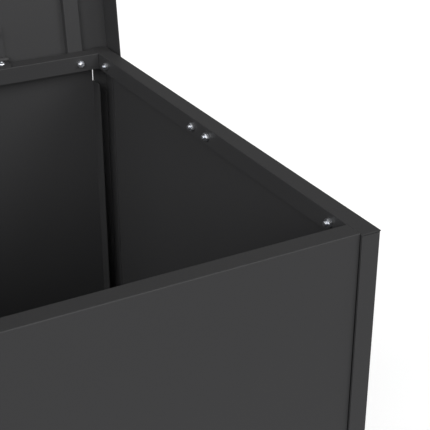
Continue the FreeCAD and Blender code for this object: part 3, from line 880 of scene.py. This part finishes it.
@dataclass(frozen=True)
class Stud:
    """A threaded stud with a flat head, or a bolt with a domed, hex-socket head, in millimetres."""

    head_radius: float = 4.0
    head: float = 1.6        # height
    domed: bool = False
    socket: float = 1.6      # corner radius
    socket_depth: float = 0.55   # as a share of the head's height
    crown: Point = (0.45, 0.08)  # share of the radius, and millimetres
    dome: tuple[Point, ...] = ((0.72, 0.24), (0.92, 0.6), (1.0, 0.85))  # shares of radius and height
    rim: float = 0.3
    lap: float = 0.3         # how far the shank reaches into the head
    past: float = 0.5        # how far the key's cutter stands out of the head
    edge: float = 0.1
    smooth: float = 35.0     # in degrees
    thread_smooth: float = 40.0
    thread: Thread = Thread()

    def model(self, name: str, length: float) -> bpy.types.Object:
        """Models the fastener with its head on the origin and its thread along +Z.

        Args:
            name: The piece's name.
            length: Its whole length in metres.

        Returns:
            The fastener.
        """
        shank = self.thread.model("shank", self.head - self.lap, length / MM)
        radius = self.head_radius
        if self.domed:
            across, drop = self.crown
            face = [(radius * across, drop), *((radius * out, self.head * down) for out, down in self.dome)]
        else:
            face = [(radius - self.rim, 0), (radius, self.rim)]
        head = lathe("head", [(0, 0), *face, (radius, self.head), (0, self.head)])
        if self.domed:
            key = prism("key", 6, self.socket, -self.past, self.head * self.socket_depth)
            combine(head, key, "DIFFERENCE")
        soften(head, self.edge, self.smooth)
        shade(shank, self.thread_smooth)
        return weld_parts([head, shank], name)


@dataclass
class Fasteners:
    """Nuts, studs and bolts of one body, modelled once and copied to their seats."""

    finishes: Finishes
    body: Body
    groups: dict[str, tuple[Facing, Union[HexNut, Stud]]]
    spin: float = 37.0       # each copy is turned this much further than the last, in degrees

    def build(self) -> int:
        """Models each group and sets its copies.

        Returns:
            The number of pieces.
        """
        count = 0
        for node, (facing, kind) in self.groups.items():
            places = seats(node, facing)
            if isinstance(kind, HexNut):
                model = kind.model("pattern")
            else:
                model = kind.model("pattern", places[0].length)
            for index, seat in enumerate(places):
                self.copy(model, node, index, seat)
            bpy.data.objects.remove(model)
            count += len(places)
            log.info("%s: %d pieces", node, len(places))
        return count

    def copy(self, model: bpy.types.Object, node: str, index: int, seat: Seat) -> None:
        """Sets one copy on its seat.

        Args:
            model: The fastener on the origin.
            node: The node that the copy stands for.
            index: Its number in the group.
            seat: Its seat.
        """
        piece = model.copy()
        piece.data = model.data.copy()
        piece.name = f"{node}_{index + 1:02d}"
        piece.data.name = piece.name
        bpy.context.scene.collection.objects.link(piece)
        turn = Matrix.Rotation(math.radians(self.spin * index), 4, "Z")
        piece.data.transform(seat.place @ turn)
        hand_over(piece, self.body, Slot.ZINC, node, self.finishes)


# The lock


@dataclass
class Lock:
    """Cam lock: a bezelled barrel, its plug with a keyway, and the clamping nut, in millimetres."""

    finishes: Finishes
    bezel: float = 12.0
    bezel_depth: float = 4.0
    shell: float = 9.0
    bore: float = 6.08
    face: tuple[Point, ...] = (
        (6.7, 0.55), (7.4, 0.8), (8.2, 0.35), (10.2, 0.0), (11.2, 0.35), (11.8, 1.1), (12.0, 2.0),
    )                        # radius and depth across the bezel
    mouth: float = 0.9       # depth of the bore's front edge
    shoulder: Point = (6.0, 6.4)   # where the shell's step starts and ends
    shell_step: float = 0.35
    shell_tail: float = 0.4
    plug: float = 6.0
    plug_face: tuple[Point, ...] = (
        (1.0, 0.75), (0.25, 0.95), (0.0, 1.3),
    )                        # distance from the plug's edge, and depth
    keyway: tuple[tuple[float, float, float, float], ...] = (
        (0.0, 0.0, 1.6, 7.0), (0.45, 1.1, 1.62, 3.2),
    )                        # place across, drop, width and height of each cut
    keyway_middle: float = 2.4
    keyway_depth: float = 6.0
    plug_edge: float = 0.08
    smooth: float = 35.0     # in degrees
    plug_smooth: float = 40.0
    nut: HexNut = HexNut(flats=24.0, bore=8.95, chamfer=0.8)
    nut_turn: float = 30.0   # in degrees

    def upright(self, node: str) -> Matrix:
        """Maps a model along +Z to the lock's axis, front face first.

        Args:
            node: The node whose place it takes.

        Returns:
            The placing matrix.
        """
        low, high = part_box(node)
        foot = Vector(((low.x + high.x) / 2, low.y, (low.z + high.z) / 2))
        turn = Matrix(((1, 0, 0, 0), (0, 0, 1, 0), (0, -1, 0, 0), (0, 0, 0, 1)))
        return Matrix.Translation(foot) @ turn

    def length(self, node: str) -> float:
        """Length of a node along the lock's axis, in millimetres."""
        low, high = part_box(node)
        return (high.y - low.y) / MM

    def barrel(self) -> None:
        """Models the barrel with its rounded bezel."""
        long = self.length("lock_barrel")
        step = self.shell_step
        start, end = self.shoulder
        piece = lathe("lock_barrel_turned", [
            (self.bore, self.mouth), *self.face, (self.bezel, self.bezel_depth),
            (self.shell, self.bezel_depth), (self.shell, start), (self.shell - step, end),
            (self.shell - step, long - self.shell_tail), (self.shell - 2 * step, long),
            (self.bore, long), (self.bore, self.mouth),
        ], FINEST)
        piece.data.transform(self.upright("lock_barrel"))
        shade(piece, self.smooth)
        hand_over(piece, Body.BOX, Slot.CHROME, "lock_barrel", self.finishes)

    def turning_plug(self) -> None:
        """Models the plug and cuts its stepped keyway."""
        long = self.length("lock_plug")
        radius = self.plug
        face = [(radius - inset, depth) for inset, depth in self.plug_face]
        piece = lathe("lock_plug_turned", [(0, face[0][1]), *face, (radius, long), (0, long)], FINE)
        for across, drop, width, height in self.keyway:
            deselect()
            middle = (across * MM, -drop * MM, self.keyway_middle * MM)
            bpy.ops.mesh.primitive_cube_add(size=MM, location=middle)
            slot = bpy.context.object
            slot.scale = (width, height, self.keyway_depth)
            settle("slot")
            combine(piece, slot, "DIFFERENCE")
        piece.data.transform(self.upright("lock_plug"))
        soften(piece, self.plug_edge, self.plug_smooth)
        hand_over(piece, Body.LOCK, Slot.CHROME, "lock_plug", self.finishes)

    def clamp(self) -> None:
        """Models the large nut behind the panel."""
        piece = replace(self.nut, height=self.length("lock_nut")).model("lock_nut_turned")
        turn = Matrix.Rotation(math.radians(self.nut_turn), 4, "Z")
        piece.data.transform(self.upright("lock_nut") @ turn)
        hand_over(piece, Body.BOX, Slot.CHROME, "lock_nut", self.finishes)

    def build(self) -> None:
        """Builds the lock."""
        self.barrel()
        self.turning_plug()
        self.clamp()


# The studio


@dataclass(frozen=True)
class Lamp:
    """A distant soft lamp, placed by angles from the front towards the right."""

    name: str
    azimuth: float
    elevation: float
    power: float             # in watts per square metre
    softness: float = 30.0   # its apparent width in degrees
    distance: float = 4.0

    def build(self) -> None:
        """Makes the lamp and points it at the box."""
        data = bpy.data.lights.new(self.name, "SUN")
        data.angle = math.radians(self.softness)
        data.energy = self.power
        lamp = bpy.data.objects.new(self.name, data)
        bpy.context.scene.collection.objects.link(lamp)
        turn, rise = math.radians(self.azimuth), math.radians(self.elevation)
        level = math.cos(rise)
        aside = Vector((math.sin(turn) * level, -math.cos(turn) * level, math.sin(rise)))
        lamp.location = aside * self.distance
        lamp.rotation_euler = lamp.location.to_track_quat("Z", "Y").to_euler()


@dataclass
class Studio:
    """Pale floor, soft lights and the camera."""

    eye: tuple[float, float, float] = (-0.0797, -0.9541, 1.0318)
    heading: float = 28.97
    tilt: float = 26.62
    focal_ratio: float = 1081.5 / 430.0   # focal length over the frame's width
    sensor: float = 36.0
    near: float = 0.01
    floor_size: float = 60.0
    floor_colour: Colour = (0.5, 0.5, 0.5)
    floor_patches: float = 1.2            # patches per metre
    floor_mottle: float = 0.97            # brightness of the darker ones
    floor_roughness: float = 0.8
    floor_glow: float = 0.7               # only the camera sees it
    sky: float = 0.09
    sky_gloss: float = 0.26
    backdrop: float = 1.05
    lamps: tuple[Lamp, ...] = (
        Lamp("key_lamp", -45.0, 25.0, 2.0),
        Lamp("fill_lamp", 40.0, 35.0, 1.1),
        Lamp("side_lamp", -85.0, 30.0, 1.1),
        Lamp("front_lamp", 0.0, 18.0, 1.0),
        Lamp("rear_lamp", -145.0, 16.0, 0.9, softness=40.0),
    )

    def camera(self) -> None:
        """Makes the camera."""
        data = bpy.data.cameras.new("camera")
        data.sensor_width = self.sensor
        data.lens = self.sensor * self.focal_ratio
        data.clip_start = self.near
        camera = bpy.data.objects.new("camera", data)
        bpy.context.scene.collection.objects.link(camera)
        camera.location = self.eye
        camera.rotation_euler = (math.radians(90 - self.tilt), 0.0, math.radians(-self.heading))
        bpy.context.scene.camera = camera

    def floor(self) -> None:
        """Makes the floor."""
        bpy.ops.mesh.primitive_plane_add(size=self.floor_size, location=(0, 0, 0))
        floor = bpy.context.object
        floor.name = "studio_floor"
        material, tree, shader = start_material("studio_floor")
        mottle = noise_node(tree, self.floor_patches, 2.0)
        darker = tuple(value * self.floor_mottle for value in self.floor_colour)
        tree.links.new(mix_colours(tree, mottle, self.floor_colour, darker), shader.inputs["Base Color"])
        shader.inputs["Roughness"].default_value = self.floor_roughness
        shader.inputs["Emission Color"].default_value = WHITE
        seen = tree.nodes.new("ShaderNodeLightPath").outputs["Is Camera Ray"]
        glow = math_node(tree, "MULTIPLY", seen, self.floor_glow)
        tree.links.new(glow, shader.inputs["Emission Strength"])
        floor.data.materials.append(material)

    def world(self) -> None:
        """Makes the even white surround."""
        world = bpy.data.worlds.new("surround")
        world.use_nodes = True
        tree = world.node_tree
        light = tree.nodes["Background"]
        light.inputs["Color"].default_value = WHITE
        seen = tree.nodes.new("ShaderNodeBackground")
        seen.inputs["Color"].default_value = WHITE
        seen.inputs["Strength"].default_value = self.backdrop
        mix = tree.nodes.new("ShaderNodeMixShader")
        path = tree.nodes.new("ShaderNodeLightPath")
        gloss = math_node(tree, "MULTIPLY", path.outputs["Is Glossy Ray"], self.sky_gloss - self.sky)
        tree.links.new(math_node(tree, "ADD", gloss, self.sky), light.inputs["Strength"])
        tree.links.new(path.outputs["Is Camera Ray"], mix.inputs["Fac"])
        tree.links.new(light.outputs["Background"], mix.inputs[1])
        tree.links.new(seen.outputs["Background"], mix.inputs[2])
        tree.links.new(mix.outputs["Shader"], tree.nodes["World Output"].inputs["Surface"])
        bpy.context.scene.world = world

    def build(self) -> None:
        """Makes the whole studio."""
        self.camera()
        self.floor()
        self.world()
        for lamp in self.lamps:
            lamp.build()
        bpy.context.scene.view_settings.view_transform = "Standard"


def main() -> None:
    """Builds the box's looks in order."""
    deselect()
    finishes = Finishes()
    domed = Stud(head_radius=4.4, head=2.6, domed=True)
    finishes.dress_frame()
    log.info("dressed %d frame nodes", len(frame["nodes"]))
    on_box = Fasteners(finishes, Body.BOX, {
        "rim_studs": (Facing.INWARD, Stud()),
        "rim_nuts": (Facing.INWARD, HexNut()),
        "base_bolts": (Facing.UP, domed),
        "base_nuts": (Facing.UP, HexNut()),
        "hinge_screws": (Facing.DOWN, domed),
        "hinge_screw_nuts": (Facing.DOWN, HexNut()),
        "guard_studs": (Facing.BACK, Stud()),
        "guard_nuts": (Facing.BACK, HexNut()),
    })
    on_lid = Fasteners(finishes, Body.LID, {
        "lid_studs": (Facing.LID, Stud()),
        "lid_nuts": (Facing.LID, HexNut()),
    })
    log.info("fasteners: %d on the box, %d on the lid", on_box.build(), on_lid.build())
    Lock(finishes).build()
    log.info("lock: barrel, plug and nut")
    Studio().build()
    log.info("studio: floor, lamps and camera")


if __name__ == "__main__":
    logging.basicConfig(level=logging.INFO, format="%(name)s: %(message)s")
    main()
